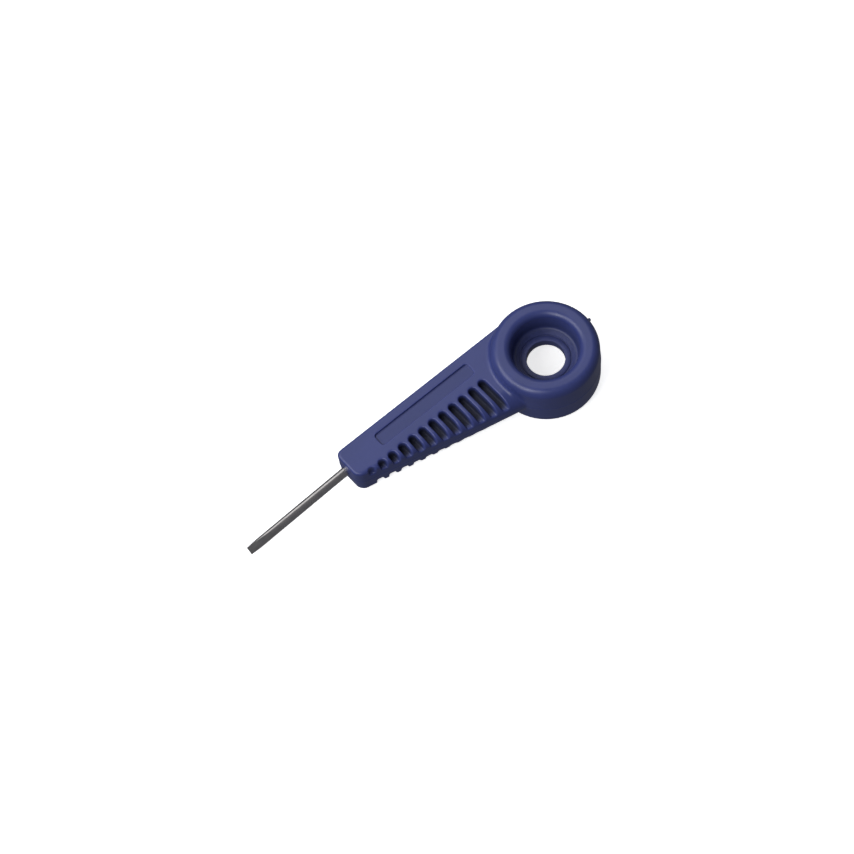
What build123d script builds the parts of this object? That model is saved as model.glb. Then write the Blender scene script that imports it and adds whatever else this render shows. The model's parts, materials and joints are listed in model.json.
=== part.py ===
"""Slim flat-blade screwdriver with a thumb-and-finger ring head.

Two pieces, in millimetres: a round steel blade, and a plastic handle that is moulded round the
blade's tang. The handle's two faces are alike about its middle plane z = 0, but for their rows of
grip pockets: the lower row is set half a pitch further from the front.

Frame: the origin is the centre of the hole through the head, in the middle plane. +X runs along
the blade towards its tip, +Z stands out of the handle's broad face, and +Y points to the ribbed,
flared side.
"""
from build123d import *
import os
from math import asin, atan2, degrees, hypot, radians, tan

# ---- Head: a thick round disc with a finger cup in each face and a hole through the web ----
HEAD_RADIUS = 14.57          # at the middle plane
HEAD_DRAFT_DEG = 1.2         # the wall leans in towards each face
HEAD_HALF_HEIGHT = 8.1
RIM_CREST_OUTER = 12.3       # flat crest of the rim, outer radius
RIM_CREST_INNER = 11.0       # flat crest of the rim, inner radius
RIM_SHOULDER_DROP = 2.5      # height over which the rim rounds into the outer wall
CUP_THROAT_RADIUS = 9.1
CUP_ROUNDING = 1.8           # from the crest down into the cup
CUP_FLOOR_RADIUS = 8.75
CUP_FLOOR_FILLET = 0.8
CUP_FLOOR_HEIGHT = 2.0       # height of the floor where it meets the wall
FLOOR_STEP = 0.12            # each turned step of the floor
FLOOR_STEP_COUNT = 4
RING_OUTER_RADIUS = 6.6      # flat ring round the hole
RING_GROOVE_WIDTH = 0.35
RING_GROOVE_DEPTH = 0.25
WEB_HALF_THICKNESS = 1.3
HOLE_RADIUS = 5.15

# ---- Handle: a tapered slab, straight on one side and flared on the other ----
FRONT_X = 59.45              # front end of the handle
HALF_THICKNESS = 4.65
STRAIGHT_EDGE_FRONT_Y = -16.35
FLARED_EDGE_FRONT_Y = -6.88
FLARED_EDGE_REAR_X = 10.0
FLARED_EDGE_REAR_Y = 7.34
FRONT_CORNER = 2.0           # plan radius of both front corners
EDGE_ROUNDING = 0.8
FLANK_FRONT_DEPTH = 0.8      # the flared flank rounds over this much width at the front
FLANK_REAR_DEPTH = 5.6       # and over this much beside the head
FLANK_REAR_HEIGHT = 4.5
NECK_FILLET = 1.3            # between the handle's face and the head's wall

# ---- Grip pockets: a row on each face, open through the flared flank ----
POCKET_PITCH = 3.39
UPPER_POCKET_COUNT = 12
UPPER_FIRST_X = 55.4         # the pocket nearest the front
LOWER_POCKET_COUNT = 11
LOWER_FIRST_X = UPPER_FIRST_X - POCKET_PITCH / 2
POCKET_WIDTH = 2.35          # at the handle's face
POCKET_FLOOR = 2.2           # half the web that is left between the two rows
POCKET_DRAFT_DEG = 8.0
POCKET_INNER_Y = -5.35       # inner end of the row, where it crosses x = 0
POCKET_INNER_SLOPE = -0.026

# ---- Label recess on each face ----
LABEL_LENGTH = 31.4
LABEL_WIDTH = 3.9
LABEL_DEPTH = 0.55
LABEL_CORNER = 0.9
LABEL_CENTRE = (32.95, -10.64)

# ---- Gate stub at the far end of the head, standing on the parting line ----
NIB_REACH = 16.65            # from the hole's axis to its end
NIB_CENTRE_Y = -0.7
NIB_WIDTH = 0.8
NIB_HEIGHT = 0.9

# ---- Blade ----
BLADE_RADIUS = 1.25
BLADE_AXIS_Y = -12.33
TIP_X = 92.2
FLAT_LENGTH = 11.2           # ground flats, from the tip back
TIP_HALF_THICKNESS = 0.2
TIP_WIDTH = 2.25
SIDE_GRIND_LENGTH = 9.0
FLAT_ANGLE_DEG = 48.0        # how far the flats are turned from the handle's face
TANG_LENGTH = 26.0           # inside the handle
TANG_RADIUS = 1.0            # turned down, so that a shoulder seats flush with the handle's front
WING_LENGTH = 6.0
WING_WIDTH = 3.8
WING_THICKNESS = 1.8
WING_START = 14.0            # from the handle's front to the wings
TANG_CHAMFER = 0.4

MARGIN = 1.0                 # how far a cutting tool stands past what it cuts
TOLERANCE = 0.01             # for picking edges by where they are


def straight_edge_slope():
    """Return the slope of the straight edge, which is tangent to the head's wall."""
    reach = hypot(FRONT_X, STRAIGHT_EDGE_FRONT_Y)
    bearing = atan2(-STRAIGHT_EDGE_FRONT_Y, FRONT_X)
    return -tan(bearing - asin(HEAD_RADIUS / reach))


def both_faces(tool):
    """Return a tool with its mirror image about the middle plane."""
    return [tool, mirror(tool, about=Plane.XY)]


def head_wall_radius(height):
    """Return the radius of the head's outer wall at a height above the middle plane."""
    return HEAD_RADIUS - height * tan(radians(HEAD_DRAFT_DEG))


def head_half():
    """Return the solid upper half of the head, before its cup is cut."""
    shoulder_height = HEAD_HALF_HEIGHT - RIM_SHOULDER_DROP
    shoulder_radius = head_wall_radius(shoulder_height)
    with BuildPart() as half:
        with BuildSketch(Plane.XZ):
            with BuildLine():
                Line((0, 0), (HEAD_RADIUS, 0))
                Line((HEAD_RADIUS, 0), (shoulder_radius, shoulder_height))
                EllipticalCenterArc(
                    (RIM_CREST_OUTER, shoulder_height),
                    shoulder_radius - RIM_CREST_OUTER,
                    RIM_SHOULDER_DROP,
                    start_angle=0,
                    arc_size=90,
                )
                Line((RIM_CREST_OUTER, HEAD_HALF_HEIGHT), (0, HEAD_HALF_HEIGHT))
                Line((0, HEAD_HALF_HEIGHT), (0, 0))
            make_face()
        revolve(axis=Axis.Z)
    return half.part


def cup_tool():
    """Return the tool that cuts the upper finger cup, with the turned steps of its floor."""
    throat_height = HEAD_HALF_HEIGHT - CUP_ROUNDING
    fillet_centre = (CUP_FLOOR_RADIUS - CUP_FLOOR_FILLET, CUP_FLOOR_HEIGHT + CUP_FLOOR_FILLET)
    floor_outer = fillet_centre[0]
    groove_outer = RING_OUTER_RADIUS + RING_GROOVE_WIDTH
    step_width = (floor_outer - groove_outer) / FLOOR_STEP_COUNT
    floor = [(floor_outer, CUP_FLOOR_HEIGHT)]
    for step in range(FLOOR_STEP_COUNT):
        radius = floor_outer - (step + 1) * step_width
        height = CUP_FLOOR_HEIGHT - step * FLOOR_STEP
        floor.append((radius, height))
        floor.append((radius, height - FLOOR_STEP))
    groove_height = WEB_HALF_THICKNESS - RING_GROOVE_DEPTH
    floor[-1] = (groove_outer, groove_height)
    floor.append((RING_OUTER_RADIUS, groove_height))
    floor.append((RING_OUTER_RADIUS, WEB_HALF_THICKNESS))
    floor.append((0, WEB_HALF_THICKNESS))
    top = HEAD_HALF_HEIGHT + MARGIN
    with BuildPart() as tool:
        with BuildSketch(Plane.XZ):
            with BuildLine():
                Polyline(*floor)
                Line((0, WEB_HALF_THICKNESS), (0, top))
                Line((0, top), (RIM_CREST_INNER, top))
                Line((RIM_CREST_INNER, top), (RIM_CREST_INNER, HEAD_HALF_HEIGHT))
                EllipticalCenterArc(
                    (RIM_CREST_INNER, throat_height),
                    RIM_CREST_INNER - CUP_THROAT_RADIUS,
                    HEAD_HALF_HEIGHT - throat_height,
                    start_angle=90,
                    arc_size=90,
                )
                Line((CUP_THROAT_RADIUS, throat_height), (CUP_FLOOR_RADIUS, fillet_centre[1]))
                CenterArc(fillet_centre, CUP_FLOOR_FILLET, 270, 90)
            make_face()
        revolve(axis=Axis.Z)
    return tool.part


def slab():
    """Return the handle's slab with its rounded front and straight side."""
    slope = straight_edge_slope()
    rear_straight_y = STRAIGHT_EDGE_FRONT_Y - slope * FRONT_X
    corners = [
        (0, rear_straight_y),
        (FRONT_X, STRAIGHT_EDGE_FRONT_Y),
        (FRONT_X, FLARED_EDGE_FRONT_Y),
        (FLARED_EDGE_REAR_X, FLARED_EDGE_REAR_Y),
        (0, FLARED_EDGE_REAR_Y),
    ]
    with BuildPart() as body:
        with BuildSketch(Plane.XY.offset(-HALF_THICKNESS)):
            Polygon(*corners, align=None)
        extrude(amount=2 * HALF_THICKNESS)
        fillet(body.edges().filter_by(Axis.Z).group_by(Axis.X)[-1], FRONT_CORNER)
        outline = body.edges().group_by(Axis.Z)[0] + body.edges().group_by(Axis.Z)[-1]
        rounded = []
        for edge in outline:
            middle = edge @ 0.5
            on_front = middle.X > FRONT_X - FRONT_CORNER
            on_straight_side = middle.Y < STRAIGHT_EDGE_FRONT_Y / 2 and middle.X > MARGIN
            if on_front or on_straight_side:
                rounded.append(edge)
        fillet(rounded, EDGE_ROUNDING)
    return body.part


def flank_section(x, y_edge, depth, height):
    """Return the face that trims the upper flared flank to a quarter ellipse at one x."""
    overlap = 0.03
    centre = (y_edge - depth + overlap, HALF_THICKNESS - height)
    with BuildSketch(Plane(origin=(x, 0, 0), x_dir=(0, 1, 0), z_dir=(1, 0, 0))) as section:
        with BuildLine():
            EllipticalCenterArc(centre, depth, height, start_angle=0, arc_size=90)
            Line((centre[0], HALF_THICKNESS), (centre[0], HALF_THICKNESS + MARGIN))
            Line((centre[0], HALF_THICKNESS + MARGIN), (y_edge + 2 * MARGIN, HALF_THICKNESS + MARGIN))
            Line((y_edge + 2 * MARGIN, HALF_THICKNESS + MARGIN), (y_edge + 2 * MARGIN, centre[1]))
            Line((y_edge + 2 * MARGIN, centre[1]), (centre[0] + depth, centre[1]))
        make_face()
    return section.sketch


def flank_tool():
    """Return the tool that rolls the upper flared edge off towards the head."""
    slope = (FLARED_EDGE_FRONT_Y - FLARED_EDGE_REAR_Y) / (FRONT_X - FLARED_EDGE_REAR_X)
    front_x = FRONT_X + MARGIN
    front = flank_section(front_x, FLARED_EDGE_FRONT_Y + slope * MARGIN, FLANK_FRONT_DEPTH, EDGE_ROUNDING)
    rear_x = FLARED_EDGE_REAR_X - MARGIN
    rear = flank_section(rear_x, FLARED_EDGE_REAR_Y - slope * MARGIN, FLANK_REAR_DEPTH, FLANK_REAR_HEIGHT)
    return loft([front.face(), rear.face()], ruled=True)


def pocket_tool(x):
    """Return the drafted tool for the upper grip pocket at one x."""
    inner_y = POCKET_INNER_Y + POCKET_INNER_SLOPE * x
    top = HALF_THICKNESS + MARGIN
    top_width = POCKET_WIDTH + 2 * MARGIN * tan(radians(POCKET_DRAFT_DEG))
    length = HEAD_RADIUS
    with BuildPart() as tool:
        with BuildSketch(Plane.XY.offset(top)):
            with Locations((x, inner_y + length / 2)):
                SlotOverall(length, top_width, rotation=90)
        extrude(amount=-(top - POCKET_FLOOR), taper=POCKET_DRAFT_DEG)
    return tool.part


def label_tool():
    """Return the tool for the upper label recess, which lies parallel to the straight edge."""
    tilt = degrees(atan2(straight_edge_slope(), 1))
    with BuildPart() as tool:
        with BuildSketch(Plane.XY.offset(HALF_THICKNESS - LABEL_DEPTH)):
            with Locations(Location((LABEL_CENTRE[0], LABEL_CENTRE[1], 0), (0, 0, tilt))):
                RectangleRounded(LABEL_LENGTH, LABEL_WIDTH, LABEL_CORNER)
        extrude(amount=LABEL_DEPTH + MARGIN)
    return tool.part


def nib():
    """Return the small stub that the moulding gate leaves on the head's far end."""
    length = NIB_REACH - HEAD_RADIUS + MARGIN
    centre = Pos(length / 2 - NIB_REACH, NIB_CENTRE_Y, NIB_HEIGHT / 2)
    return centre * Box(length, NIB_WIDTH, NIB_HEIGHT)


def neck_edges(body):
    """Return the arcs where the handle's two faces meet the head's wall."""
    wall = head_wall_radius(HALF_THICKNESS)
    found = []
    for edge in body.edges().filter_by(GeomType.CIRCLE):
        middle = edge @ 0.5
        on_face = abs(abs(middle.Z) - HALF_THICKNESS) < TOLERANCE
        on_wall = abs(hypot(middle.X, middle.Y) - wall) < TOLERANCE
        if on_face and on_wall:
            found.append(edge)
    return found


def turned_wedge(normal_deg, length, half_width_at_tip):
    """Return the tool that grinds one sloping flat on the tip, facing a given way round the blade.

    The angle is measured from +Z towards +Y.
    """
    slope = (BLADE_RADIUS - half_width_at_tip) / length
    past_tip = half_width_at_tip - slope * MARGIN
    profile = Plane.XZ * Polygon(
        (TIP_X - length, BLADE_RADIUS),
        (TIP_X + MARGIN, past_tip),
        (TIP_X + MARGIN, 2 * BLADE_RADIUS),
        (TIP_X - length, 2 * BLADE_RADIUS),
        align=None,
    )
    wedge = extrude(profile, amount=2 * BLADE_RADIUS, both=True)
    return Rot(-normal_deg, 0, 0) * wedge


def blade():
    """Return the blade: round shank, ground tip, and a tang with pressed wings."""
    shank_length = TIP_X - FRONT_X
    shank = Pos(FRONT_X + shank_length / 2, 0, 0) * Rot(0, 90, 0) * Cylinder(BLADE_RADIUS, shank_length)
    tang = Pos(FRONT_X - TANG_LENGTH / 2, 0, 0) * Rot(0, 90, 0) * Cylinder(TANG_RADIUS, TANG_LENGTH)
    rod = shank + chamfer(tang.edges().sort_by(Axis.X)[0], TANG_CHAMFER)
    wing_x = FRONT_X - WING_START - WING_LENGTH / 2
    rod += Pos(wing_x, 0, 0) * Box(WING_LENGTH, WING_WIDTH, WING_THICKNESS)
    for turn in (0, 180):
        rod -= turned_wedge(FLAT_ANGLE_DEG + turn, FLAT_LENGTH, TIP_HALF_THICKNESS)
        rod -= turned_wedge(FLAT_ANGLE_DEG + turn + 90, SIDE_GRIND_LENGTH, TIP_WIDTH / 2)
    return Pos(0, BLADE_AXIS_Y, 0) * rod


def handle(blade_solid):
    """Return the moulded handle, with a cavity that fits the blade's tang."""
    upper = head_half()
    body = slab()
    for tool in both_faces(flank_tool()):
        body -= tool
    body += upper + mirror(upper, about=Plane.XY)
    body = fillet(neck_edges(body), NECK_FILLET)
    body += nib()
    for tool in both_faces(cup_tool()):
        body -= tool
    body -= Cylinder(HOLE_RADIUS, 2 * HEAD_HALF_HEIGHT)
    for tool in both_faces(label_tool()):
        body -= tool
    for index in range(UPPER_POCKET_COUNT):
        body -= pocket_tool(UPPER_FIRST_X - index * POCKET_PITCH)
    for index in range(LOWER_POCKET_COUNT):
        body -= mirror(pocket_tool(LOWER_FIRST_X - index * POCKET_PITCH), about=Plane.XY)
    return body - blade_solid


def main():
    """Build both pieces and write one STEP file for each."""
    os.makedirs("parts", exist_ok=True)
    blade_solid = blade()
    export_step(blade_solid, "parts/blade.step")
    export_step(handle(blade_solid), "parts/handle.step")


main()
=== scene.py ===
"""Studio scene of a slim watchmaker's screwdriver with a ring head.

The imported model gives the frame: every size that it can give comes from its boxes and mounts. The
moulded handle and the ground blade are rebuilt here as fine meshes that stand exactly where their
plain solids stand. Shapes are worked out in millimetres and written to the meshes in metres.
"""

import json
import logging
import math
from dataclasses import dataclass, field
from enum import Enum
from typing import Any, Callable, Dict, List, Optional, Sequence, Tuple, Union

import bmesh
import bpy
import numpy as np
from mathutils import Matrix, Vector
from mathutils.geometry import delaunay_2d_cdt


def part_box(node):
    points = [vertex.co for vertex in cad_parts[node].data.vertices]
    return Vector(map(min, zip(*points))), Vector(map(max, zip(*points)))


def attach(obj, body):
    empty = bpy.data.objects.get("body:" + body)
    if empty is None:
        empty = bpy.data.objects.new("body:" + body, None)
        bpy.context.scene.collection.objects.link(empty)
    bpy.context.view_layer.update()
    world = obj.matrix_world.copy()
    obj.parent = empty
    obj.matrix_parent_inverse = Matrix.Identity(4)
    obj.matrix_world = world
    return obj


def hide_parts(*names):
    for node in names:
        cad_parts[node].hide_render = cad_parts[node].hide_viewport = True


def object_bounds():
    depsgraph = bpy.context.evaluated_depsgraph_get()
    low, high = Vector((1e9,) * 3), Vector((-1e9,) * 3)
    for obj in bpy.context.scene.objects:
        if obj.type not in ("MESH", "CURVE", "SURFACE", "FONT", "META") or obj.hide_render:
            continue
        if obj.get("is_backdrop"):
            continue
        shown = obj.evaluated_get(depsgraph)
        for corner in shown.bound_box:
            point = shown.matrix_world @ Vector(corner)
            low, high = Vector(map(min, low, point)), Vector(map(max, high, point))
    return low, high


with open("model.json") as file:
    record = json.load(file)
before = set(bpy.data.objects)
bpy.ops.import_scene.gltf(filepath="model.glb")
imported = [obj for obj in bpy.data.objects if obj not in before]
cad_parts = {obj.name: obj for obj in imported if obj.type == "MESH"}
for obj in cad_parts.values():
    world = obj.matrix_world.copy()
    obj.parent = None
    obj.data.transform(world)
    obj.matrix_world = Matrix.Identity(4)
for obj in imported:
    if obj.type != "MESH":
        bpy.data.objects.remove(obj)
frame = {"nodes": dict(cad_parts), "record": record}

LOG = logging.getLogger("screwdriver")
MM = 0.001
EDGE = "edge"  # vertex attribute: how rubbed the plastic is
PAINTED_SHADE = "painted_shade_amount"  # vertex attribute: painted shade, which grows with depth in the pockets and cups
DENSITY = {"handle": 1.1, "blade": 7.85}  # grams in a cubic centimetre

Number = Union[int, float]
Array = np.ndarray
Field = Callable[[Array], Array]


# ---------------------------------------------------------------------------------------------
# Mesh helpers
# ---------------------------------------------------------------------------------------------


def smooth_step(low: float, high: float, value: Array) -> Array:
    """Return 0 below low, 1 above high, and a smooth ramp between them."""
    t = np.clip((value - low) / (high - low), 0.0, 1.0)
    return t * t * (3.0 - 2.0 * t)


def round_max(a: Array, b: Array, radius: Union[float, Array]) -> Array:
    """Return the distance field of what two fields share, with its edge rounded.

    Args:
        a: First field, negative inside.
        b: Second field, negative inside.
        radius: Radius of the rounded edge.

    Returns:
        The field of the intersection.
    """
    corner = np.hypot(np.maximum(a + radius, 0.0), np.maximum(b + radius, 0.0))
    return np.minimum(np.maximum(a, b), -radius) + corner


def round_min(a: Array, b: Array, radius: Union[float, Array]) -> Array:
    """Return the field of two shapes joined with a fillet of the given radius."""
    return -round_max(-a, -b, radius)


def elliptic_corner(side: Array, top: Array, depth: Array, height: Array) -> Array:
    """Return the field of a slab's edge that is rounded to a quarter ellipse.

    Args:
        side: Distance outside the slab's side.
        top: Distance outside the slab's face.
        depth: The ellipse's reach inward from the side.
        height: The ellipse's reach down from the face.

    Returns:
        The field of the rounded slab, close to a true distance near its surface.
    """
    u = np.maximum(side + depth, 0.0) / depth
    w = np.maximum(top + height, 0.0) / height
    length = np.maximum(np.hypot(u, w), 1e-9)
    slope = np.maximum(np.hypot(u / depth, w / height) / length, 1e-9)
    return np.where((u > 0) & (w > 0), (length - 1.0) / slope, np.maximum(side, top))


def arc_points(
    centre: Tuple[float, float], radii: Tuple[float, float], start: float, end: float, count: int
) -> List[Tuple[float, float]]:
    """Return points along part of an upright ellipse.

    Args:
        centre: The ellipse's centre.
        radii: Its radii across and up.
        start: Angle of the first point, in radians.
        end: Angle of the last point, in radians.
        count: How many points there are.

    Returns:
        The points, in order.
    """
    angles = np.linspace(start, end, count)
    return [(centre[0] + radii[0] * math.cos(a), centre[1] + radii[1] * math.sin(a)) for a in angles]


def graded_axis(low: float, high: float, step: float, fine: Sequence[Tuple[float, float, float]]) -> Array:
    """Return grid lines from low to high that are closer together in some stretches.

    Args:
        low: First line.
        high: The lines reach at least this far.
        step: Usual spacing.
        fine: Stretches as (centre, half width, spacing).

    Returns:
        The rising coordinates of the lines.
    """
    lines = [low]
    while lines[-1] < high:
        here = lines[-1] + 1e-9
        spacing = step
        limit = math.inf
        for centre, half, small in fine:
            if centre - half <= here < centre + half:
                spacing = min(spacing, small)
            elif here < centre - half:
                limit = min(limit, centre - half)
        lines.append(min(lines[-1] + spacing, limit))
    return np.array(lines)


def surface_net(shape: Field, xs: Array, ys: Array, zs: Array) -> Tuple[Array, Array]:
    """Mesh the zero level of a field with one vertex in each cell that it crosses.

    Args:
        shape: The field, negative inside.
        xs: Grid lines along x.
        ys: Grid lines along y.
        zs: Grid lines along z.

    Returns:
        Vertices, moved onto the exact surface, and quads that face outward.
    """
    lines = (xs, ys, zs)
    count = tuple(len(a) for a in lines)
    values = np.empty(count)
    plane = np.stack(np.meshgrid(ys, zs, indexing="ij"), -1).reshape(-1, 2)
    for start in range(0, count[0], 16):
        part = xs[start:start + 16]
        points = np.empty((len(part), len(plane), 3))
        points[:, :, 0] = part[:, None]
        points[:, :, 1:] = plane[None]
        values[start:start + 16] = shape(points.reshape(-1, 3)).reshape(len(part), count[1], count[2])
    inside = values < 0
    cells = tuple(c - 1 for c in count)
    total = np.zeros(cells + (3,))
    hits = np.zeros(cells)
    crossings = []
    for axis in range(3):
        near = [slice(None)] * 3
        far = [slice(None)] * 3
        near[axis] = slice(0, -1)
        far[axis] = slice(1, None)
        change = inside[tuple(near)] != inside[tuple(far)]
        index = np.argwhere(change)
        other = index.copy()
        other[:, axis] += 1
        first = values[tuple(index.T)]
        second = values[tuple(other.T)]
        share = first / (first - second)
        place = np.stack([lines[k][index[:, k]] for k in range(3)], 1)
        place[:, axis] += share * (lines[axis][other[:, axis]] - lines[axis][index[:, axis]])
        side_a, side_b = [k for k in range(3) if k != axis]
        for step_a in (0, 1):
            for step_b in (0, 1):
                cell = index.copy()
                cell[:, side_a] -= step_a
                cell[:, side_b] -= step_b
                np.add.at(total, tuple(cell.T), place)
                np.add.at(hits, tuple(cell.T), 1)
        crossings.append((axis, side_a, side_b, index, first < 0))
    used = np.argwhere(hits > 0)
    number = -np.ones(cells, int)
    number[tuple(used.T)] = np.arange(len(used))
    vertices = total[tuple(used.T)] / hits[tuple(used.T)][:, None]
    quads = []
    for axis, side_a, side_b, index, rising in crossings:
        corner = []
        for step_a, step_b in ((1, 1), (0, 1), (0, 0), (1, 0)):
            cell = index.copy()
            cell[:, side_a] -= step_a
            cell[:, side_b] -= step_b
            corner.append(number[tuple(cell.T)])
        loop = np.stack(corner, 1)
        turn = rising if axis != 1 else ~rising
        loop[~turn] = loop[~turn][:, ::-1]
        quads.append(loop)
    return settle(shape, vertices), np.concatenate(quads)


def settle(shape: Field, points: Array, rounds: int = 4, nudge: float = 0.004, reach: float = 0.2) -> Array:
    """Move points along a field's slope until they lie on its zero level."""
    moved = points.copy()
    offsets = np.eye(3) * nudge
    gentlest = 0.2
    for _ in range(rounds):
        value = shape(moved)
        slope = np.stack([shape(moved + o) - shape(moved - o) for o in offsets], 1) / (2 * nudge)
        steep = np.maximum((slope ** 2).sum(1), gentlest)
        moved -= np.clip(value / steep, -reach, reach)[:, None] * slope
    return moved


@dataclass
class MeshData:
    """Vertices in millimetres, and faces as lists of vertex numbers."""

    vertices: List[Sequence[float]] = field(default_factory=list)
    faces: List[Sequence[int]] = field(default_factory=list)

    def add(self, vertices: Sequence[Sequence[float]], faces: Sequence[Sequence[int]]) -> int:
        """Append a patch and return the number of its first vertex."""
        start = len(self.vertices)
        self.vertices.extend(tuple(float(c) for c in v) for v in vertices)
        self.faces.extend(tuple(int(i) + start for i in f) for f in faces)
        return start

    def add_object(self, name: str, crease_deg: float) -> bpy.types.Object:
        """Make a smooth-shaded object of the mesh, in metres.

        Args:
            name: The object's name.
            crease_deg: Edges that turn more than this stay sharp.

        Returns:
            The new object, linked to the scene.
        """
        mesh = bpy.data.meshes.new(name)
        mesh.from_pydata((np.array(self.vertices) * MM).tolist(), [], self.faces)
        mesh.validate()
        mesh.polygons.foreach_set("use_smooth", [True] * len(mesh.polygons))
        mesh.set_sharp_from_angle(angle=math.radians(crease_deg))
        mesh.update()
        piece = bpy.data.objects.new(name, mesh)
        bpy.context.scene.collection.objects.link(piece)
        return piece


# ---------------------------------------------------------------------------------------------
# Shader helpers
# ---------------------------------------------------------------------------------------------


class Link:
    """One output socket, with arithmetic that adds Math nodes."""

    def __init__(self, kit: "NodeKit", socket: bpy.types.NodeSocket) -> None:
        self.kit = kit
        self.socket = socket

    def _math(self, operation: str, *values: Union["Link", Number]) -> "Link":
        """Add one Math node on the given values and return its output."""
        sockets = {index: value for index, value in enumerate(values)}
        return self.kit.node("ShaderNodeMath", {"operation": operation}, sockets).out()

    def __add__(self, other: Union["Link", Number]) -> "Link":
        """Return self + other."""
        return self._math("ADD", self, other)

    def __radd__(self, other: Number) -> "Link":
        """Return other + self."""
        return self._math("ADD", other, self)

    def __sub__(self, other: Union["Link", Number]) -> "Link":
        """Return self - other."""
        return self._math("SUBTRACT", self, other)

    def __rsub__(self, other: Number) -> "Link":
        """Return other - self."""
        return self._math("SUBTRACT", other, self)

    def __mul__(self, other: Union["Link", Number]) -> "Link":
        """Return self * other."""
        return self._math("MULTIPLY", self, other)

    def __rmul__(self, other: Number) -> "Link":
        """Return other * self."""
        return self._math("MULTIPLY", other, self)

    def __pow__(self, other: Number) -> "Link":
        """Return self raised to a power."""
        return self._math("POWER", self, other)

    def ramp(self, low: float, high: float) -> "Link":
        """Return 0 below low, 1 above high, and a smooth ramp between them."""
        settings = {"interpolation_type": "SMOOTHSTEP"}
        sockets = {"Value": self, "From Min": low, "From Max": high}
        return self.kit.node("ShaderNodeMapRange", settings, sockets).out("Result")


class Placed:
    """A node that has been added, with its outputs by name or number."""

    def __init__(self, kit: "NodeKit", node: bpy.types.Node) -> None:
        """Keep the node and its kit."""
        self.kit = kit
        self.node = node

    def out(self, name: Union[str, int] = 0) -> Link:
        """Return one output as a link."""
        return Link(self.kit, self.node.outputs[name])


class NodeKit:
    """Adds nodes to one material's tree."""

    def __init__(self, name: str) -> None:
        """Make an empty node material of the given name."""
        self.material = bpy.data.materials.new(name)
        self.material.use_nodes = True
        self.tree = self.material.node_tree
        self.tree.nodes.clear()

    def node(
        self,
        kind: str,
        settings: Optional[Dict[str, Any]] = None,
        sockets: Optional[Dict[Union[str, int], Any]] = None,
    ) -> Placed:
        """Add a node.

        Args:
            kind: The node's type.
            settings: Attributes of the node, which are set first.
            sockets: Input values or links, by socket name or number.

        Returns:
            The added node.
        """
        node = self.tree.nodes.new(kind)
        for key, value in (settings or {}).items():
            setattr(node, key, value)
        for key, value in (sockets or {}).items():
            if isinstance(value, Link):
                self.tree.links.new(value.socket, node.inputs[key])
            else:
                node.inputs[key].default_value = value
        return Placed(self, node)

    def attribute(self, name: str) -> Link:
        """Return a number that the mesh stores at each vertex."""
        return self.node("ShaderNodeAttribute", {"attribute_name": name}).out("Fac")

    def place(self) -> Link:
        """Return the object's own coordinates, in metres."""
        return self.node("ShaderNodeTexCoord").out("Object")

    def noise(self, place: Link, per_mm: float, detail: float = 2.0, roughness: float = 0.5) -> Link:
        """Return noise with a given number of features in a millimetre."""
        sockets = {"Vector": place, "Scale": per_mm / MM, "Detail": detail, "Roughness": roughness}
        return self.node("ShaderNodeTexNoise", None, sockets).out(0)

    def stretched(self, place: Link, scale: Tuple[float, float, float]) -> Link:
        """Return coordinates scaled along each axis."""
        settings = {"operation": "MULTIPLY"}
        return self.node("ShaderNodeVectorMath", settings, {0: place, 1: scale}).out("Vector")

    def mix_colour(self, share: Union[Link, float], a: Any, b: Any) -> Link:
        """Return colour a turned into colour b by a share."""
        settings = {"data_type": "RGBA"}
        sockets = {0: share, 6: opaque(a), 7: opaque(b)}
        return self.node("ShaderNodeMix", settings, sockets).out(2)

    def bump(self, height: Link, depth_mm: float, strength: float, below: Optional[Link] = None) -> Link:
        """Return a normal raised by a height map of the given depth in millimetres."""
        depth = depth_mm * MM
        sockets: Dict[Union[str, int], Any] = {"Strength": strength, "Distance": depth, "Height": height}
        if below is not None:
            sockets["Normal"] = below
        return self.node("ShaderNodeBump", None, sockets).out("Normal")

    def finish(self, sockets: Dict[str, Any]) -> bpy.types.Material:
        """Add the surface shader with its sockets and return the material."""
        shader = self.node("ShaderNodeBsdfPrincipled", None, sockets)
        self.node("ShaderNodeOutputMaterial", None, {"Surface": shader.out("BSDF")})
        return self.material


def opaque(colour: Any) -> Any:
    """Return a colour with its alpha added, or a link as it is."""
    return colour if isinstance(colour, Link) else tuple(colour) + (1.0,)


# ---------------------------------------------------------------------------------------------
# Finishes
# ---------------------------------------------------------------------------------------------

Colour = Tuple[float, float, float]


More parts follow.
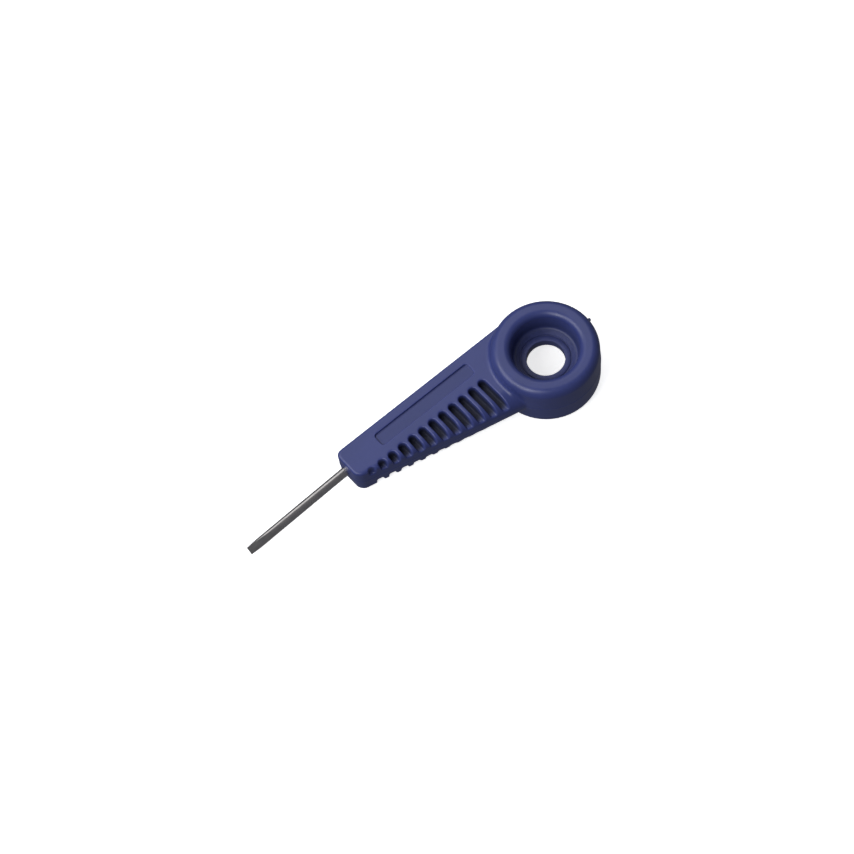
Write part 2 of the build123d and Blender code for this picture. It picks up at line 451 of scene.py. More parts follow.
@dataclass(frozen=True)
class MouldedPlastic:
    """Satin plastic: fine grain, slow flow marks, faintly rubbed edges and a painted shade, a darker tint
    deep in the pockets and cups.
    """

    deep: Colour = (0.031, 0.043, 0.165)
    light: Colour = (0.038, 0.051, 0.195)
    rubbed: Colour = (0.060, 0.075, 0.270)
    # shade is the colour of painted shade: a dark tint laid deep in the pockets and cups, with its share
    # and added roughness below
    shade: Colour = (0.008, 0.010, 0.018)
    flow_share: float = 0.7
    rub_least: float = 0.35
    rub_share: float = 0.5
    shade_share: float = 0.85
    roughness: float = 0.36
    roughness_swing: float = 0.10
    grain_roughness: float = 0.08
    shade_roughness: float = 0.3
    flow_per_mm: float = 0.16
    flow_depth_mm: float = 0.02
    cloud_per_mm: float = 0.7
    grain_per_mm: float = 5.0
    grain_depth_mm: float = 0.006

    def material(self, name: str) -> bpy.types.Material:
        """Return the plastic as a material."""
        kit = NodeKit(name)
        place = kit.place()
        flow = kit.noise(kit.stretched(place, (0.35, 1.0, 1.0)), self.flow_per_mm, 3.0, 0.55)
        cloud = kit.noise(place, self.cloud_per_mm, 4.0, 0.6)
        grain = kit.noise(place, self.grain_per_mm, 3.0, 0.65)
        rub = kit.attribute(EDGE) * (self.rub_least + (1 - self.rub_least) * cloud.ramp(0.4, 0.65))
        marks = flow.ramp(0.35, 0.7) * self.flow_share + cloud * (1 - self.flow_share)
        body = kit.mix_colour(marks, self.deep, self.light)
        clean = kit.mix_colour(rub * self.rub_share, body, self.rubbed)
        # Painted shade: the base colour darkens towards the shade colour, and the roughness rises, deeper
        # in the pockets and cups.
        painted_shade_mask = kit.attribute(PAINTED_SHADE)
        swing = (flow - 0.5) * self.roughness_swing + (cloud - 0.5) * self.roughness_swing
        fine = (grain - 0.5) * self.grain_roughness + painted_shade_mask * self.shade_roughness
        polish = kit.bump(flow, self.flow_depth_mm, 0.4)
        sockets = {
            "Base Color": kit.mix_colour(painted_shade_mask * self.shade_share, clean, self.shade),
            "Roughness": self.roughness + swing + fine,
            "IOR": 1.49,
            "Normal": kit.bump(grain, self.grain_depth_mm, 0.5, polish),
        }
        return kit.finish(sockets)


@dataclass(frozen=True)
class GroundSteel:
    """Polished hard steel, drawn along the shank and cross-ground on the tip's flats."""

    colour: Colour = (0.50, 0.48, 0.47)
    dark: Colour = (0.33, 0.32, 0.32)
    roughness: float = 0.24
    ground_roughness: float = 0.12
    stain_roughness: float = 0.08
    drawn_per_mm: float = 9.0
    ground_per_mm: float = 11.0
    stain_per_mm: float = 0.5
    line_depth_mm: float = 0.004
    ground_depths: Tuple[float, float] = (0.03, 0.01)
    axis_y: float = 0.0
    radius: float = 1.25

    def material(self, name: str) -> bpy.types.Material:
        """Return the steel as a material."""
        kit = NodeKit(name)
        place = kit.place()
        along = kit.noise(kit.stretched(place, (0.04, 1.0, 1.0)), self.drawn_per_mm)
        across = kit.noise(kit.stretched(place, (1.0, 0.06, 0.06)), self.ground_per_mm)
        stain = kit.noise(place, self.stain_per_mm, 4.0, 0.6)
        parts = kit.node("ShaderNodeSeparateXYZ", None, {0: place})
        across_y = parts.out("Y") - self.axis_y * MM
        from_axis = (across_y ** 2 + parts.out("Z") ** 2) ** 0.5
        inner, outer = ((self.radius - depth) * MM for depth in self.ground_depths)
        ground = 1 - from_axis.ramp(inner, outer)
        lines = along * (1 - ground) + across * ground
        tint = kit.mix_colour(stain.ramp(0.35, 0.75) * 0.5 + ground * 0.35, self.colour, self.dark)
        sockets = {
            "Base Color": tint,
            "Metallic": 1.0,
            "Roughness": self.roughness + ground * self.ground_roughness + stain * self.stain_roughness,
            "Normal": kit.bump(lines, self.line_depth_mm, 0.5),
        }
        return kit.finish(sockets)


@dataclass(frozen=True)
class PaleFloor:
    """Matt pale sheet, lit through from below like a light table."""

    colour: Colour = (0.90, 0.90, 0.90)
    mottled: float = 0.99
    mottle_per_mm: float = 0.05
    glow: float = 0.85

    def material(self, name: str) -> bpy.types.Material:
        """Return the sheet as a material."""
        kit = NodeKit(name)
        mottle = kit.noise(kit.place(), self.mottle_per_mm, 3.0)
        tint = kit.mix_colour(mottle, self.colour, tuple(c * self.mottled for c in self.colour))
        sockets = {
            "Base Color": tint,
            "Roughness": 0.9,
            "Emission Color": opaque(self.colour),
            "Emission Strength": self.glow,
        }
        return kit.finish(sockets)


# ---------------------------------------------------------------------------------------------
# Handle
# ---------------------------------------------------------------------------------------------


@dataclass
class HandleSizes:
    """Sizes of the moulded handle, in millimetres, in the frame of its head's hole."""

    front_x: float
    straight_front_y: float
    head_radius: float
    head_half_height: float
    stub_reach: float
    hole_radius: float
    web_half: float
    half_thickness: float = 4.65
    head_draft_deg: float = 1.2
    crest_outer: float = 12.3
    crest_inner: float = 11.0
    shoulder_drop: float = 2.5
    flank_front_y: float = -6.88
    flank_rear_x: float = 10.0
    flank_rear_y: float = 7.34
    front_corner: float = 2.0
    edge_round: float = 0.8
    flank_start: float = 1.0
    flank_land: float = 0.1
    flank_limit: float = 1.2
    flank_rear_depth: float = 5.6
    flank_rear_height: float = 4.5
    neck_fillet: float = 1.3
    join_fillet: float = 0.35
    join_fade: Tuple[float, float] = (0.4, 3.0)
    line_height: float = 0.05
    line_width: float = 0.09

    @classmethod
    def from_frame(cls) -> "HandleSizes":
        """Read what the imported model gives: its box and the hole's mount."""
        low, high = (np.array(c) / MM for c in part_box("handle"))
        hole = next(m for m in frame["record"]["mounts"] if m["name"] == "hanging_hole")
        return cls(
            front_x=float(high[0]),
            straight_front_y=float(low[1]),
            head_radius=float(high[1]),
            head_half_height=float(high[2]),
            stub_reach=float(-low[0]),
            hole_radius=float(hole["dims"]["r_mm"]),
            web_half=float(hole["dims"]["length_mm"]) / 2,
        )

    @property
    def straight_slope(self) -> float:
        """Slope of the straight edge, which is tangent to the head."""
        reach = math.hypot(self.front_x, self.straight_front_y)
        bearing = math.atan2(-self.straight_front_y, self.front_x)
        return -math.tan(bearing - math.asin(self.head_radius / reach))

    @property
    def straight_turn(self) -> float:
        """Angle of the straight edge from the x axis, in radians."""
        return math.atan(self.straight_slope)


@dataclass
class PocketRow:
    """The row of grip pockets on each face; the lower row is set back by half a pitch."""

    upper_count: int = 12
    lower_count: int = 11
    pitch: float = 3.39
    first_x: float = 55.4
    inner_y: float = -5.35
    inner_slope: float = -0.026
    width: float = 2.35
    floor: float = 2.2
    draft_deg: float = 8.0
    floor_round: float = 0.45
    edge_round: float = 0.28

    def cut(self, body: Array, p: Array, lower: Array, face: float) -> Array:
        """Cut the pockets into a body's field.

        Args:
            body: The body's field.
            p: Points, with z already folded onto the upper half.
            lower: True for the points that were below the middle plane.
            face: Height of the handle's face.

        Returns:
            The field with pockets.
        """
        half = self.width / 2
        first = np.array([self.first_x, self.inner_y + self.inner_slope * self.first_x + half])
        pitch = -self.pitch * np.array([1.0, self.inner_slope])
        offset = p[:, :2] - first
        set_back = np.where(lower, 0.5, 0.0)
        last = np.where(lower, self.lower_count, self.upper_count) - 1
        index = np.clip(np.round(offset[:, 0] / pitch[0] - set_back), 0, last) + set_back
        offset = offset - index[:, None] * pitch
        draft = math.radians(self.draft_deg)
        radius = half - (face - p[:, 2]) * math.tan(draft)
        reach = np.hypot(offset[:, 0], np.minimum(offset[:, 1], 0.0))
        walls = (reach - radius) * math.cos(draft)
        pocket = round_max(walls, self.floor - p[:, 2], self.floor_round)
        return round_max(body, -pocket, self.edge_round)


@dataclass
class LabelRecess:
    """The blank label recess on each face, parallel to the straight edge."""

    length: float = 31.4
    width: float = 3.9
    depth: float = 0.55
    corner: float = 0.9
    centre: Tuple[float, float] = (32.95, -10.64)
    edge_round: float = 0.18

    def cut(self, body: Array, p: Array, face: float, turn: float) -> Array:
        """Cut the recess into a body's field, turned by an angle in radians."""
        offset = p[:, :2] - np.array(self.centre)
        along = offset @ np.array([math.cos(turn), math.sin(turn)])
        across = offset @ np.array([-math.sin(turn), math.cos(turn)])
        u = np.abs(along) - self.length / 2 + self.corner
        v = np.abs(across) - self.width / 2 + self.corner
        walls = np.hypot(np.maximum(u, 0), np.maximum(v, 0)) + np.minimum(np.maximum(u, v), 0) - self.corner
        recess = round_max(walls, face - self.depth - p[:, 2], self.edge_round)
        return round_max(body, -recess, self.edge_round)


@dataclass
class GateStub:
    """The stub that the moulding gate leaves on the head's far end, above the parting line."""

    centre_y: float = -0.7
    width: float = 0.8
    height: float = 0.9
    round: float = 0.12

    def join(self, body: Array, points: Array, reach: float) -> Array:
        """Join the stub to a body's field."""
        side = np.abs(points[:, 1] - self.centre_y) - self.width / 2
        top = np.abs(points[:, 2] - self.height / 2) - self.height / 2
        end = -points[:, 0] - reach
        block = round_max(round_max(side, top, self.round), end, self.round)
        block = np.maximum(block, points[:, 0] + reach / 2)
        return round_min(body, block, self.round)


@dataclass
class FingerCup:
    """The turned inside of the head: cup wall, stepped floor, ring and hole."""

    throat_radius: float = 9.1
    rounding: float = 1.8
    floor_radius: float = 8.75
    floor_fillet: float = 0.8
    floor_height: float = 2.0
    ring_radius: float = 6.6
    groove_width: float = 0.35
    groove_depth: float = 0.25
    ridges: int = 6
    ridge_height: float = 0.045
    hole_round: float = 0.12
    lip: float = 0.05
    crest_lap: float = 0.15
    rim_steps: int = 22
    wall_steps: int = 8
    fillet_steps: int = 9
    ridge_steps: int = 12
    edge_steps: int = 6
    segments: int = 256

    def profile(self, sizes: HandleSizes) -> List[Tuple[float, float]]:
        """Return the upper half of the turned profile, from the rim's crest to the hole."""
        top = sizes.head_half_height
        points = [(sizes.crest_inner + self.crest_lap, top)]
        centre = (sizes.crest_inner, top - self.rounding)
        radii = (sizes.crest_inner - self.throat_radius, self.rounding)
        points += arc_points(centre, radii, math.pi / 2, math.pi, self.rim_steps)
        corner = (self.floor_radius - self.floor_fillet, self.floor_height + self.floor_fillet)
        for share in np.linspace(0, 1, self.wall_steps)[1:-1]:
            radius = self.throat_radius + (self.floor_radius - self.throat_radius) * share
            points.append((radius, centre[1] + (corner[1] - centre[1]) * share))
        radii = (self.floor_fillet, self.floor_fillet)
        points += arc_points(corner, radii, 0, -math.pi / 2, self.fillet_steps)
        inner = self.ring_radius + self.groove_width
        fall = self.floor_height - sizes.web_half - self.lip
        for share in np.linspace(0, 1, self.ridges * self.ridge_steps + 1)[1:-1]:
            radius = corner[0] + (inner - corner[0]) * share
            wave = 0.5 - 0.5 * math.cos(2 * math.pi * self.ridges * share)
            points.append((radius, self.floor_height - fall * share + self.ridge_height * wave))
        bottom = sizes.web_half - self.groove_depth
        points += [(inner, sizes.web_half + 0.03), (inner - 0.04, bottom + 0.03), (inner - 0.09, bottom)]
        points += [(self.ring_radius + 0.05, bottom), (self.ring_radius, bottom + 0.04)]
        points += [(self.ring_radius - 0.02, sizes.web_half - 0.04)]
        points += [(self.ring_radius - 0.08, sizes.web_half)]
        edge = (sizes.hole_radius + self.hole_round, sizes.web_half - self.hole_round)
        radii = (self.hole_round, self.hole_round)
        points += arc_points(edge, radii, math.pi / 2, math.pi, self.edge_steps)
        points += [(sizes.hole_radius, edge[1] * 0.5), (sizes.hole_radius, 0.04)]
        return points

    def lathe(self, sizes: HandleSizes) -> Tuple[List[Tuple[float, float, float]], List[Tuple[int, ...]]]:
        """Return the vertices and quads of the whole turned inside, crest to crest."""
        upper = self.profile(sizes)
        whole = upper + [(r, -z) for r, z in reversed(upper)]
        vertices = []
        for radius, height in whole:
            for step in range(self.segments):
                turn = 2 * math.pi * step / self.segments
                vertices.append((radius * math.cos(turn), radius * math.sin(turn), height))
        faces = []
        for row in range(len(whole) - 1):
            for step in range(self.segments):
                after = (step + 1) % self.segments
                here = row * self.segments
                below = here + self.segments
                faces.append((here + step, here + after, below + after, below + step))
        return vertices, faces


@dataclass(frozen=True)
class GridSpacing:
    """Spacing of the grid that the moulding is meshed on; pairs are (half width, spacing)."""

    step: float = 0.26
    clearance: Tuple[Tuple[float, float], ...] = ((1.0, 1.5), (3.2, 1.0), (0.52, 0.6))
    lines_per_pitch: int = 15
    label_ends: Tuple[float, float] = (0.25, 0.1)
    label_sides: Tuple[float, float] = (0.2, 0.08)
    parting_line: Tuple[float, float] = (0.2, 0.05)
    faces: Tuple[float, float] = (0.35, 0.12)
    label_floor: Tuple[float, float] = (0.12, 0.08)


class Handle:
    """The moulded handle: tapered slab with pockets and label recess, and the cupped ring head."""

    rubbed_bend = (0.35, 1.4)  # turn of the surface in a millimetre, in radians
    # pocket_shade, cup_shade and cup_shade_share set where the painted shade grows and how strong it is in
    # the cups.
    pocket_shade = (0.15, 1.7)  # depths below the outside
    cup_shade = (2.0, 5.0)  # depths below the rim's crest
    cup_shade_share = 0.4
    head_skin = 0.5
    crest_band = 0.1
    seam_shift = 0.2
    crease_deg = 50.0

    def __init__(self) -> None:
        """Read the frame's sizes and set up the features."""
        self.sizes = HandleSizes.from_frame()
        self.grid = GridSpacing()
        self.pockets = PocketRow()
        self.label = LabelRecess()
        self.stub = GateStub()
        self.cup = FingerCup()

    def slab(self, p: Array) -> Tuple[Array, Array]:
        """Return the slab's field, and how far inside its plan outline each point is."""
        s = self.sizes
        turn = s.straight_turn
        line_y = s.straight_front_y + s.straight_slope * (p[:, 0] - s.front_x)
        straight = (line_y - p[:, 1]) * math.cos(turn)
        front = p[:, 0] - s.front_x
        flank_slope = (s.flank_front_y - s.flank_rear_y) / (s.front_x - s.flank_rear_x)
        flank_y = s.flank_front_y + flank_slope * (p[:, 0] - s.front_x)
        flank = (p[:, 1] - flank_y) * math.cos(math.atan(flank_slope))
        plan = round_max(round_max(straight, front, s.front_corner), flank, s.front_corner)
        plan = np.maximum(plan, -p[:, 0]) + p[:, 2] * math.tan(math.radians(s.head_draft_deg))
        start_x = s.front_x - s.flank_start
        share = np.clip((start_x - p[:, 0]) / (start_x - s.flank_rear_x), 0, s.flank_limit)
        share = np.where(flank > np.maximum(straight, front), share, 0.0)
        depth = s.edge_round + (s.flank_rear_depth - s.edge_round) * share
        height = s.edge_round + (s.flank_rear_height - s.edge_round) * share
        height = np.minimum(height, s.half_thickness - s.flank_land)
        return elliptic_corner(plan, p[:, 2] - s.half_thickness, depth, height), -plan

    def head(self, p: Array) -> Array:
        """Return the head's field, with its cup left solid."""
        s = self.sizes
        draft = math.radians(s.head_draft_deg)
        radius = np.hypot(p[:, 0], p[:, 1])
        wall = (radius - (s.head_radius - s.line_height - p[:, 2] * math.tan(draft))) * math.cos(draft)
        shoulder = s.head_radius - (s.head_half_height - s.shoulder_drop) * math.tan(draft) - s.crest_outer
        return elliptic_corner(
            wall,
            p[:, 2] - s.head_half_height,
            np.full(len(p), shoulder),
            np.full(len(p), s.shoulder_drop),
        )

    def form(self, points: Array) -> Array:
        """Return the whole moulding's field, with its cup left solid."""
        s = self.sizes
        p = points.copy()
        p[:, 2] = np.abs(p[:, 2])
        slab, depth_in = self.slab(p)
        fillet = s.join_fillet + (s.neck_fillet - s.join_fillet) * smooth_step(*s.join_fade, depth_in)
        body = round_min(slab, self.head(p), fillet)
        body = self.pockets.cut(body, p, points[:, 2] < 0, s.half_thickness)
        body = self.label.cut(body, p, s.half_thickness, s.straight_turn)
        body = body - s.line_height * np.exp(-(p[:, 2] / s.line_width) ** 2)
        return self.stub.join(body, points, s.stub_reach)

    def outer_net(self) -> Tuple[Array, Array]:
        """Mesh the moulding on a grid that lies along the straight edge."""
        s = self.sizes
        grid = self.grid
        cos, sin = math.cos(s.straight_turn), math.sin(s.straight_turn)
        turned = np.array([[cos, -sin, 0], [sin, cos, 0], [0, 0, 1]])
        label = np.array([self.label.centre[0], self.label.centre[1], 0]) @ turned
        half_length = self.label.length / 2
        half_width = self.label.width / 2
        fine_x = [(label[0] + side * half_length, *grid.label_ends) for side in (-1, 1)]
        fine_y = [(label[1] + side * half_width, *grid.label_sides) for side in (-1, 1)]
        fine_z = [(0.0, *grid.parting_line)]
        for side in (-1, 1):
            fine_z.append((side * s.half_thickness, *grid.faces))
            fine_z.append((side * (s.half_thickness - self.label.depth), *grid.label_floor))
        step_x = self.pockets.pitch / grid.lines_per_pitch
        (rear, ahead), (right, left), (below, above) = grid.clearance
        xs = graded_axis(-s.stub_reach - rear, s.front_x + ahead, step_x, fine_x)
        ys = graded_axis(-s.head_radius - right, s.head_radius + left, grid.step, fine_y)
        zs = graded_axis(-s.head_half_height - below, s.head_half_height + above, grid.step, fine_z)
        vertices, quads = surface_net(lambda q: self.form(q @ turned.T), xs, ys, zs)
        return vertices @ turned.T, quads

    def build(self) -> bpy.types.Object:
        """Return the finished handle mesh: outer moulding, turned inside, and the rims between them."""
        s = self.sizes
        vertices, quads = self.outer_net()
        cut_radius = (s.crest_inner + s.crest_outer) / 2 + self.seam_shift
        on_crest = np.abs(vertices[:, 2]) > s.head_half_height - self.crest_band
        dropped = on_crest & (np.hypot(vertices[:, 0], vertices[:, 1]) < cut_radius)
        quads = quads[~dropped[quads].any(1)]
        used = np.unique(quads)
        number = -np.ones(len(vertices), int)
        number[used] = np.arange(len(used))
        data = MeshData()
        data.add(vertices[used], number[quads])
        lathe_vertices, lathe_faces = self.cup.lathe(s)
        start = data.add(lathe_vertices, lathe_faces)
        last_row = start + len(lathe_vertices) - self.cup.segments
        for side, ring in ((1, start), (-1, last_row)):
            circle = [ring + i for i in range(self.cup.segments)]
            self.stitch(data, circle, open_loop(data, number[quads], side), side)
        piece = data.add_object("handle_moulding", self.crease_deg)
        self.mark_surface(piece)
        return piece

    @staticmethod
    def stitch(data: MeshData, circle: Sequence[int], loop: Sequence[int], side: int) -> None:
        """Fill the flat ring of crest between the turned inside and the outer net.

        Args:
            data: The mesh to add to.
            circle: Vertices of the turned inside's first or last ring.
            loop: Vertices of the outer net's open edge.
            side: 1 on the upper face and -1 on the lower.
        """
        members = list(loop) + list(circle)
        flat = [Vector(data.vertices[i][:2]) for i in members]
        outer = list(range(len(loop)))
        inner = list(range(len(loop), len(members)))
        made = delaunay_2d_cdt(flat, [], [outer, inner], 0, 1e-7)
        _, _, faces, origins, _, owners = made
        for face, owner in zip(faces, owners):
            if list(owner) == [0]:
                ids = [members[origins[i][0]] for i in face]
                data.faces.append(tuple(ids if side > 0 else reversed(ids)))

    def mark_surface(self, piece: bpy.types.Object) -> None:
        """Store how rubbed each vertex is, and how much painted shade it gets in a pocket or cup."""
        mesh = piece.data
        count = len(mesh.vertices)
        place = np.empty(count * 3)
        normal = np.empty(count * 3)
        mesh.vertices.foreach_get("co", place)
        mesh.vertex_normals.foreach_get("vector", normal)
        place = place.reshape(-1, 3)
        normal = normal.reshape(-1, 3)
        ends = np.empty(len(mesh.edges) * 2, int)
        mesh.edges.foreach_get("vertices", ends)
        a, b = ends.reshape(-1, 2).T
        span = place[b] - place[a]
        bend = ((normal[b] - normal[a]) * span).sum(1) / np.maximum((span ** 2).sum(1), 1e-14) * MM
        total = np.zeros(count)
        hits = np.zeros(count)
        for end in (a, b):
            np.add.at(total, end, bend)
            np.add.at(hits, end, 1)
        curve = total / np.maximum(hits, 1)
        marks = {EDGE: smooth_step(*self.rubbed_bend, curve), PAINTED_SHADE: self.painted_shade_mask(place / MM)}
        for name, values in marks.items():
            mesh.attributes.new(name, "FLOAT", "POINT").data.foreach_set("value", values)

    def painted_shade_mask(self, points: Array) -> Array:
        """Return the painted shade at each point, by depth: 0 outside, 1 deep in a pocket, less in the
        cups.
        """
        folded = points.copy()
        folded[:, 2] = np.abs(folded[:, 2])
        slab, _ = self.slab(folded)
        pocket_painted_shade = smooth_step(*self.pocket_shade, -slab)
        below_crest = self.sizes.head_half_height - folded[:, 2]
        cup_painted_shade = self.cup_shade_share * smooth_step(*self.cup_shade, below_crest)
        radius = np.hypot(points[:, 0], points[:, 1])
        cup_painted_shade = np.where(radius < self.sizes.crest_inner, cup_painted_shade, 0.0)
        return np.where(radius > self.sizes.head_radius - self.head_skin, pocket_painted_shade, cup_painted_shade)


def open_loop(data: MeshData, quads: Array, side: int) -> List[int]:
    """Return the open edge of the outer net on one face, in order round the head.

    Args:
        data: The mesh whose first vertices the quads use.
        quads: The outer net's faces.
        side: 1 for the upper face and -1 for the lower.

    Returns:
        The vertex numbers of the loop, anticlockwise from above.
    """
    pairs = np.concatenate([quads[:, [i, (i + 1) % 4]] for i in range(4)])
    ordered = np.sort(pairs, 1)
    _, first, uses = np.unique(ordered, axis=0, return_index=True, return_counts=True)
    after: Dict[int, int] = {}
    for a, b in pairs[first[uses == 1]]:
        if data.vertices[a][2] * side > 0:
            after[int(a)] = int(b)
    start = next(iter(after))
    loop = [start]
    while after[loop[-1]] != start:
        loop.append(after[loop[-1]])
    place = np.array([data.vertices[i] for i in loop])
    ahead = np.roll(place, -1, 0)
    area = (place[:, 0] * ahead[:, 1] - ahead[:, 0] * place[:, 1]).sum()
    return loop if area > 0 else loop[::-1]


# ---------------------------------------------------------------------------------------------
# Blade
# ---------------------------------------------------------------------------------------------


@dataclass
class Blade:
    """The steel blade: round shank with a tip ground flat on both sides, in millimetres."""

    tip_x: float
    axis_y: float
    front_x: float
    radius: float
    hidden: float = 8.0
    flat_length: float = 11.2
    tip_half: float = 0.2
    tip_width: float = 2.25
    side_length: float = 9.0
    turn_deg: float = 48.0
    segments: int = 160
    sharp_deg: float = 12.0
    crease_deg: float = 20.0
    edge_break: float = 0.03

    @classmethod
    def from_frame(cls) -> "Blade":
        """Read the blade's place from its box and its shank mount."""
        low, high = (np.array(c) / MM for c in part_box("blade"))
        shank = next(m for m in frame["record"]["mounts"] if m["name"] == "blade_shank")
        return cls(
            tip_x=float(high[0]),
            axis_y=float(low[1] + high[1]) / 2,
            front_x=float(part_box("handle")[1][0] / MM),
            radius=float(shank["dims"]["r_mm"]),
        )

    def build(self) -> bpy.types.Object:
        """Return the blade's mesh: a round rod, cut by the four ground planes."""
        shape = bmesh.new()
        length = self.tip_x - self.front_x + self.hidden
        size = {"radius1": self.radius, "radius2": self.radius, "depth": length}
        bmesh.ops.create_cone(shape, cap_ends=True, segments=self.segments, **size)
        along_x = Matrix.Rotation(math.pi / 2, 4, "Y")
        centre = Matrix.Translation((self.tip_x - length / 2, self.axis_y, 0))
        bmesh.ops.transform(shape, matrix=centre @ along_x, verts=shape.verts)
        for quarter in range(4):
            if quarter % 2 == 0:
                self.grind(shape, 90 * quarter, self.flat_length, self.tip_half)
            else:
                self.grind(shape, 90 * quarter, self.side_length, self.tip_width / 2)
        least = math.radians(self.sharp_deg)
        sharp = [e for e in shape.edges if e.is_manifold and e.calc_face_angle() > least]
        bmesh.ops.bevel(shape, geom=sharp, offset=self.edge_break, segments=2, profile=0.5, affect="EDGES")
        faces = [[v.index for v in f.verts] for f in shape.faces]
        data = MeshData([tuple(v.co) for v in shape.verts], faces)
        shape.free()
        return data.add_object("blade_steel_rod", self.crease_deg)

    def grind(self, shape: bmesh.types.BMesh, turn_deg: float, length: float, half: float) -> None:
        """Cut one sloping plane on the tip.

        Args:
            shape: The rod.
            turn_deg: Which way the plane faces, from the first flat.
            length: How far back from the tip the plane starts.
            half: The plane's distance from the axis at the tip.
        """
        turn = math.radians(self.turn_deg + turn_deg)
        facing = Vector((0, math.sin(turn), math.cos(turn)))
        at_tip = Vector((self.tip_x, self.axis_y, 0)) + facing * half
        normal = (facing + Vector(((self.radius - half) / length, 0, 0))).normalized()
        geometry = shape.verts[:] + shape.edges[:] + shape.faces[:]
        cut = bmesh.ops.bisect_plane(
            shape, geom=geometry, dist=1e-6, plane_co=at_tip, plane_no=normal, clear_outer=True
        )
        rim = [e for e in cut["geom_cut"] if isinstance(e, bmesh.types.BMEdge)]
        bmesh.ops.contextual_create(shape, geom=rim)
        shape.normal_update()
        shape.verts.index_update()


# ---------------------------------------------------------------------------------------------
# Studio
# ---------------------------------------------------------------------------------------------


@dataclass
class RestingFloor:
    """The pale floor, laid where the tool really rests: under its rim and its tip."""

    half_size: float = 2.0
    gap: float = 0.0002
    search_deg: float = 14.0
    search_steps: int = 15
    search_rounds: int = 5

    def plane(self) -> Tuple[Vector, float]:
        """Return the floor's upward normal, and its height along that normal, in metres."""
        corners = np.concatenate([self.points(n) for n in frame["nodes"]])
        centre = self.mass_centre()
        best = (math.inf, 0.0, 0.0)
        span = self.search_deg
        for _ in range(self.search_rounds):
            _, mid_p, mid_r = best
            for pitch in np.linspace(mid_p - span, mid_p + span, self.search_steps):
                for roll in np.linspace(mid_r - span, mid_r + span, self.search_steps):
                    up = self.up(pitch, roll)
                    height = float(centre @ up - (corners @ up).min())
                    if height < best[0] - 1e-12:
                        best = (height, pitch, roll)
            span /= 5
        up = self.up(best[1], best[2])
        LOG.info("floor tilt: pitch %.2f, roll %.2f degrees", best[1], best[2])
        return Vector(up), float((corners @ up).min()) - self.gap

    @staticmethod
    def up(pitch: float, roll: float) -> Array:
        """Return an upward direction leaning along x by pitch and along y by roll, in degrees."""
        lean = np.array([math.tan(math.radians(pitch)), math.tan(math.radians(roll)), 1.0])
        return lean / np.linalg.norm(lean)

    @staticmethod
    def points(node: str) -> Array:
        """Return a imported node's vertices."""
        return np.array([v.co for v in frame["nodes"][node].data.vertices])

    def mass_centre(self) -> Array:
        """Return the tool's centre of mass, from the nodes' volumes and their densities."""
        total = np.zeros(3)
        mass = 0.0
        for node, weight in DENSITY.items():
            mesh = frame["nodes"][node].data
            mesh.calc_loop_triangles()
            place = self.points(node)
            a, b, c = (place[[t.vertices[k] for t in mesh.loop_triangles]] for k in range(3))
            volume = (a * np.cross(b, c)).sum(1) / 6
            total += weight * ((a + b + c) / 4 * volume[:, None]).sum(0)
            mass += weight * volume.sum()
        return total / mass

    def build(self) -> None:
        """Lay the floor, hidden from the rays that would bounce its light onto the tool."""
        up, height = self.plane()
        mesh = bpy.data.meshes.new("floor")
        s = self.half_size
        mesh.from_pydata([(-s, -s, 0), (s, -s, 0), (s, s, 0), (-s, s, 0)], [], [(0, 1, 2, 3)])
        floor = bpy.data.objects.new("floor", mesh)
        lean = up.to_track_quat("Z", "Y").to_matrix().to_4x4()
        floor.matrix_world = Matrix.Translation(up * height) @ lean
        bpy.context.scene.collection.objects.link(floor)
        mesh.materials.append(PaleFloor().material("pale_floor"))
        floor.visible_diffuse = False
        floor.visible_glossy = False
        floor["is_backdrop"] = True


@dataclass(frozen=True)
class Softbox:
    """One rectangular studio light, aimed at the tool."""

    name: str
    azimuth: float
    elevation: float
    distance: float
    size: Tuple[float, float]
    power: float

    def build(self, target: Vector) -> None:
        """Hang the light."""
        light = bpy.data.lights.new(self.name, "AREA")
        light.shape = "RECTANGLE"
        light.size, light.size_y = self.size
        light.energy = self.power
        lamp = bpy.data.objects.new(self.name, light)
        back = direction(self.azimuth, self.elevation)
        lamp.location = target + back * self.distance
        lamp.rotation_euler = (-back).to_track_quat("-Z", "Y").to_euler()
        bpy.context.scene.collection.objects.link(lamp)


def direction(azimuth: float, elevation: float) -> Vector:
    """Return the direction towards a viewer; azimuth 0 looks along +Y, in degrees."""
    a, e = math.radians(azimuth), math.radians(elevation)
    return Vector((math.sin(a) * math.cos(e), -math.cos(a) * math.cos(e), math.sin(e)))


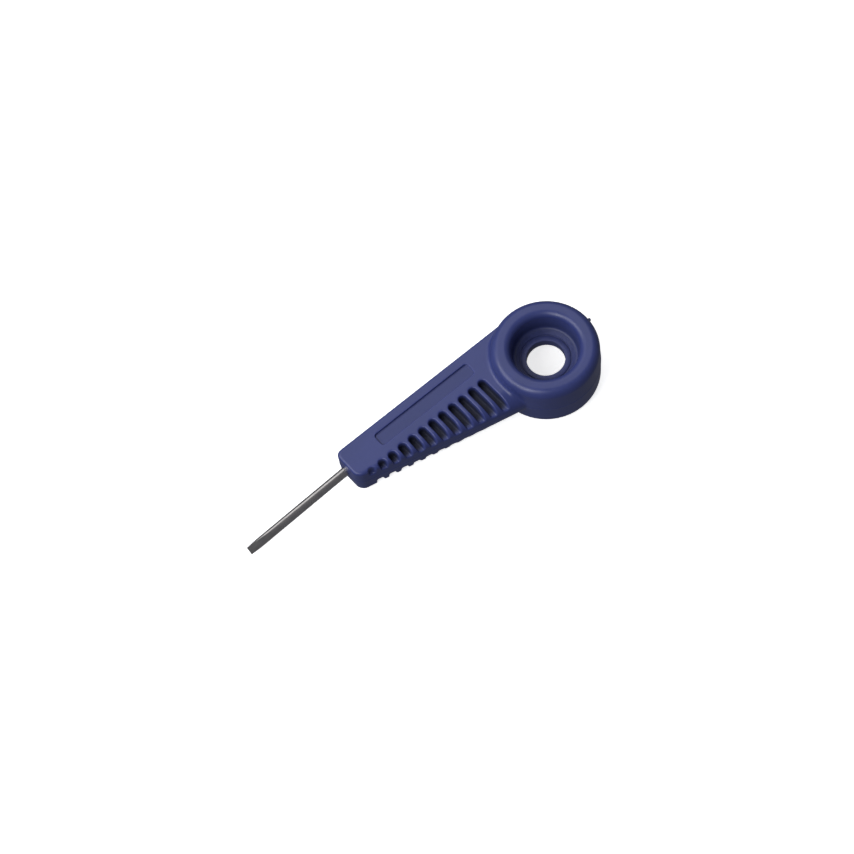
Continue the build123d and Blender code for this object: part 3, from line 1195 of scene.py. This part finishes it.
@dataclass
class Studio:
    """Camera, soft lights and a pale surround."""

    azimuth: float = 150.43
    elevation: float = 64.28
    roll: float = -12.77
    distance: float = 0.5243
    lens: float = 84.27
    aim_offset: Tuple[float, float, float] = (-0.002, -0.0063, 0.0)
    lights: Tuple[Softbox, ...] = (
        Softbox("rear_box", -28.0, 55.0, 0.9, (0.8, 0.55), 1.8),
        Softbox("left_box", 52.0, 45.0, 0.9, (0.7, 0.5), 4.2),
        Softbox("side_box", 104.0, 50.0, 0.9, (0.3, 0.5), 3.2),
    )
    surround: Colour = (0.9, 0.92, 1.0)
    surround_strength: float = 0.18

    def build(self) -> None:
        """Set up the camera, the lights and the surround."""
        low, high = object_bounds()
        target = (low + high) / 2
        self.camera(target + Vector(self.aim_offset))
        for light in self.lights:
            light.build(target)
        scene = bpy.context.scene
        world = bpy.data.worlds.new("surround")
        scene.world = world
        world.use_nodes = True
        shade = world.node_tree.nodes["Background"]
        shade.inputs["Color"].default_value = self.surround + (1.0,)
        shade.inputs["Strength"].default_value = self.surround_strength
        scene.view_settings.view_transform = "Standard"

    def camera(self, aim: Vector) -> None:
        """Place the camera and turn it about its own axis by the roll."""
        back = direction(self.azimuth, self.elevation)
        roll = Matrix.Rotation(math.radians(self.roll), 3, "Z")
        turn = (-back).to_track_quat("-Z", "Y").to_matrix() @ roll
        camera = bpy.data.objects.new("camera", bpy.data.cameras.new("camera"))
        camera.matrix_world = Matrix.Translation(aim + back * self.distance) @ turn.to_4x4()
        camera.data.lens = self.lens
        camera.data.clip_start = 0.01
        bpy.context.scene.collection.objects.link(camera)
        bpy.context.scene.camera = camera


# ---------------------------------------------------------------------------------------------
# Scene
# ---------------------------------------------------------------------------------------------


class Slot(Enum):
    """The record's material slots."""

    HANDLE = "handle_plastic"
    BLADE = "blade_steel"


def dress(piece: bpy.types.Object, material: bpy.types.Material, node: str) -> None:
    """Give a piece its material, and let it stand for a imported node.

    Args:
        piece: The new mesh.
        material: Its finish.
        node: The node that it replaces.
    """
    piece.data.materials.append(material)
    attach(piece, "root")
    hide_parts(node)
    LOG.info("%s: %d faces", piece.name, len(piece.data.polygons))


def main() -> None:
    """Build the scene."""
    logging.basicConfig(level=logging.INFO, format="%(message)s")
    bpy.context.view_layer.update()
    Studio().build()
    RestingFloor().build()
    dress(Handle().build(), MouldedPlastic().material("moulded_plastic"), "handle")
    blade = Blade.from_frame()
    steel = GroundSteel(axis_y=blade.axis_y, radius=blade.radius)
    dress(blade.build(), steel.material("ground_steel"), "blade")


if __name__ == "__main__":
    main()
